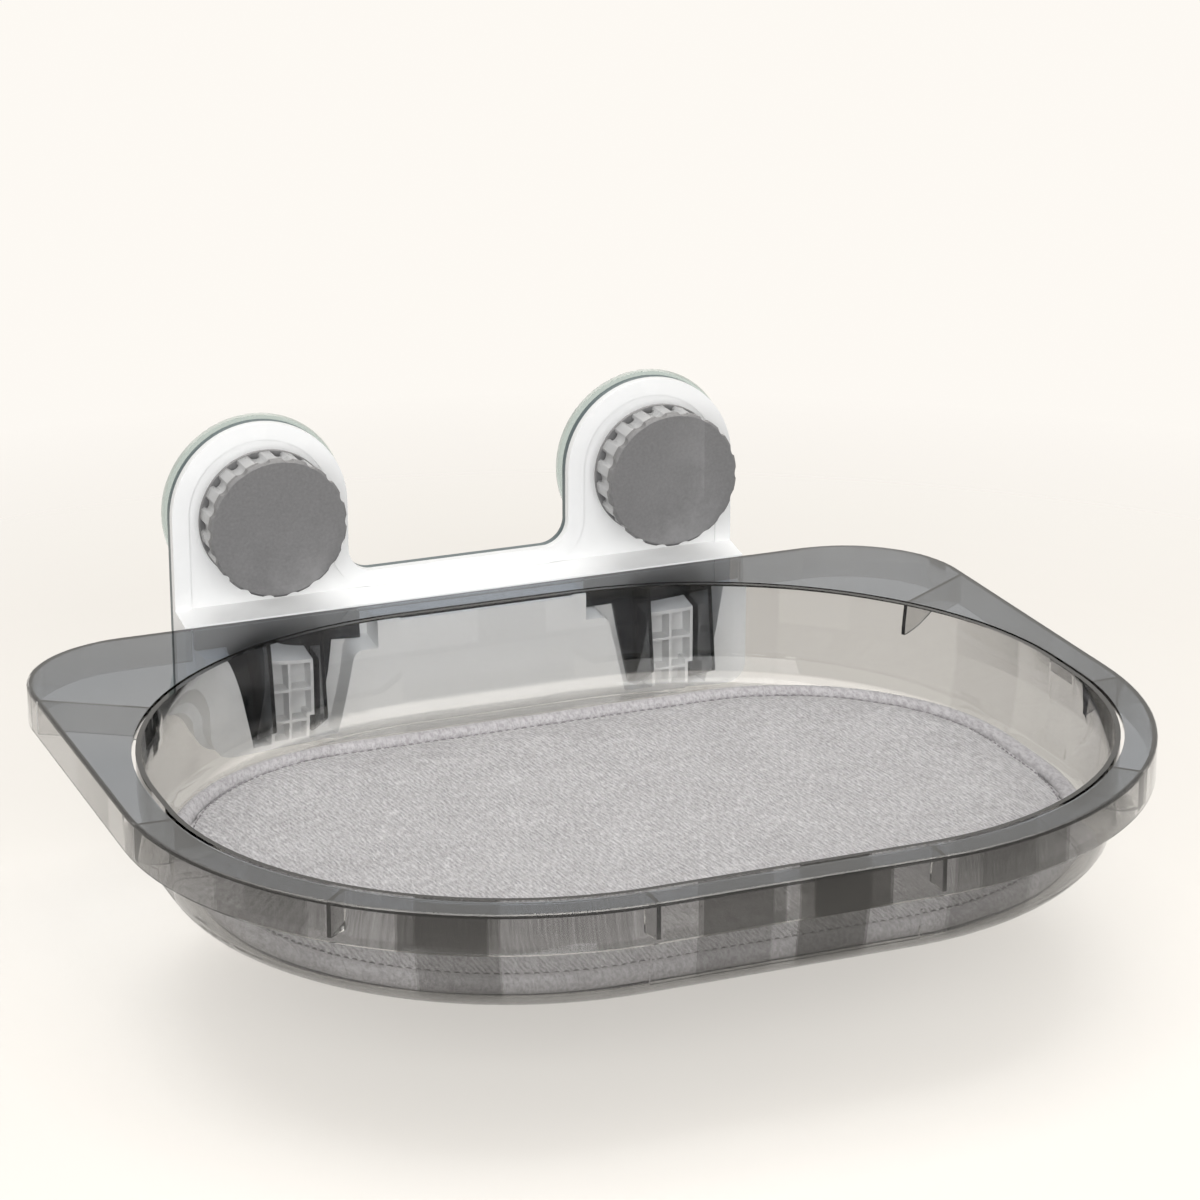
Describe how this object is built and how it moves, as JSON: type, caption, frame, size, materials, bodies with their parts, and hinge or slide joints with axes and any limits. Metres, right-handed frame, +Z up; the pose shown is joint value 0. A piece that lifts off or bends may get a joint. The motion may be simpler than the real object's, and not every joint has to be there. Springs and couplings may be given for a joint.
{
  "type": "window mounted cat perch",
  "caption": "Smoke-clear plastic cat bed bowl with a padded mat, hooked on a white window bracket held to the glass by suction cups that fluted knobs draw tight.",
  "frame": {"origin": "on the window's surface, midway between the axes of the suction cups", "axes": "+X runs along the window, +Y points into the glass, +Z points up; the bed stands out towards -Y"},
  "size_m": [0.488, 0.428, 0.164],
  "materials": {
    "white_shell": "satin moulded",
    "screw_steel": "plain",
    "bumper_rubber": "matt",
    "tongue_plastic": "fine texture",
    "cup_clear": "clear and soft",
    "stud_plastic": "moulded",
    "washer_plastic": "smooth",
    "insert_brass": "turned",
    "knob_plastic": "fine texture",
    "grip_plastic": "satin silver-grey",
    "bed_clear": "clear smoke-grey",
    "hanger_clear": "dark smoke",
    "mat_backing": "plain non-slip",
    "mat_wadding": "soft wadding",
    "mat_cloth": "twill weave",
    "mat_edge": "rolled twill"
  },
  "bodies": {
    "bracket": {"bracket_front": "white_shell", "bracket_rear": "white_shell", "bracket_screws": "screw_steel", "bumper_pads": "bumper_rubber", "tongue_left": "tongue_plastic", "tongue_right": "tongue_plastic", "washer_left": "washer_plastic", "washer_right": "washer_plastic"},
    "suction_left": {"cup_left": "cup_clear", "stud_left": "stud_plastic"},
    "suction_right": {"cup_right": "cup_clear", "stud_right": "stud_plastic"},
    "dial_left": {"knob_body_left": "knob_plastic", "knob_grip_left": "grip_plastic", "knob_cap_left": "knob_plastic", "nut_left": "insert_brass"},
    "dial_right": {"knob_body_right": "knob_plastic", "knob_grip_right": "grip_plastic", "knob_cap_right": "knob_plastic", "nut_right": "insert_brass"},
    "bed": {"tray": "bed_clear", "hanger_left": "hanger_clear", "hanger_right": "hanger_clear"},
    "mat": {"mat_base": "mat_backing", "mat_core": "mat_wadding", "mat_cover": "mat_cloth", "mat_binding": "mat_edge"}
  },
  "joints": [
    {"name": "dial_turn_left", "type": "hinge", "parent": "bracket", "child": "dial_left", "pos_m": [-0.105, -0.03, 0], "axis": [0, -1, 0], "range_deg": [0, 720]},
    {"name": "suction_slide_left", "type": "slide", "parent": "bracket", "child": "suction_left", "axis": [0, 1, 0], "range_m": [0, 0.006]},
    {"name": "dial_turn_right", "type": "hinge", "parent": "bracket", "child": "dial_right", "pos_m": [0.105, -0.03, 0], "axis": [0, -1, 0], "range_deg": [0, 720]},
    {"name": "suction_slide_right", "type": "slide", "parent": "bracket", "child": "suction_right", "axis": [0, 1, 0], "range_m": [0, 0.006]},
    {"name": "bed_lift", "type": "slide", "parent": "bracket", "child": "bed", "axis": [0, 0, 1], "range_m": [0, 0.014]},
    {"name": "mat_lift", "type": "slide", "parent": "bed", "child": "mat", "axis": [0, 0, 1], "range_m": [0, 0.06]}
  ],
  "couplings": [
    {"joint": "suction_slide_left", "follows": "dial_turn_left", "m_per_rad": 0.00047746},
    {"joint": "suction_slide_right", "follows": "dial_turn_right", "m_per_rad": 0.00047746}
  ]
}
